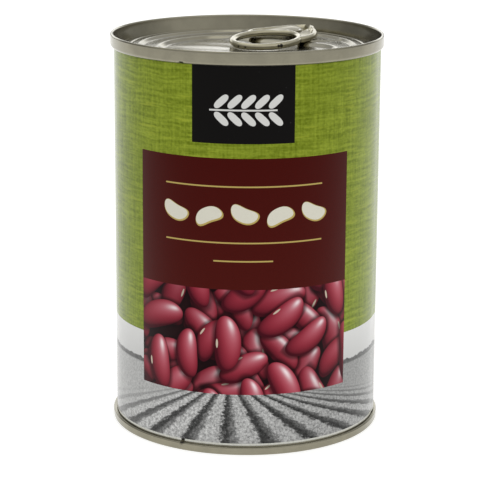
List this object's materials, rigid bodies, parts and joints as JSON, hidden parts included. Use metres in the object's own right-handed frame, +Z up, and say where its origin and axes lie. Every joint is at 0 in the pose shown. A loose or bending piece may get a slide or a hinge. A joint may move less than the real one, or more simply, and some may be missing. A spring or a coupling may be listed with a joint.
{
  "type": "canned beans",
  "caption": "Sealed steel food can with a ring-pull lid, rolled seams top and bottom and a wrapped paper label printed with beans over a ploughed field.",
  "frame": {"origin": "centre of the base, on the surface the can stands on", "axes": "+Z up along the can's axis, -Y out of the front of the label, +X to the right seen from the front"},
  "size_m": [0.0756, 0.0756, 0.11],
  "materials": {
    "tinplate": "satin, slightly golden",
    "tab_metal": "satin, slightly golden",
    "printed_paper": "glossy coated print"
  },
  "bodies": {
    "root": {"can_body": "tinplate", "bottom_end": "tinplate", "top_end": "tinplate", "pull_tab": "tab_metal", "label": "printed_paper"}
  },
  "joints": []
}
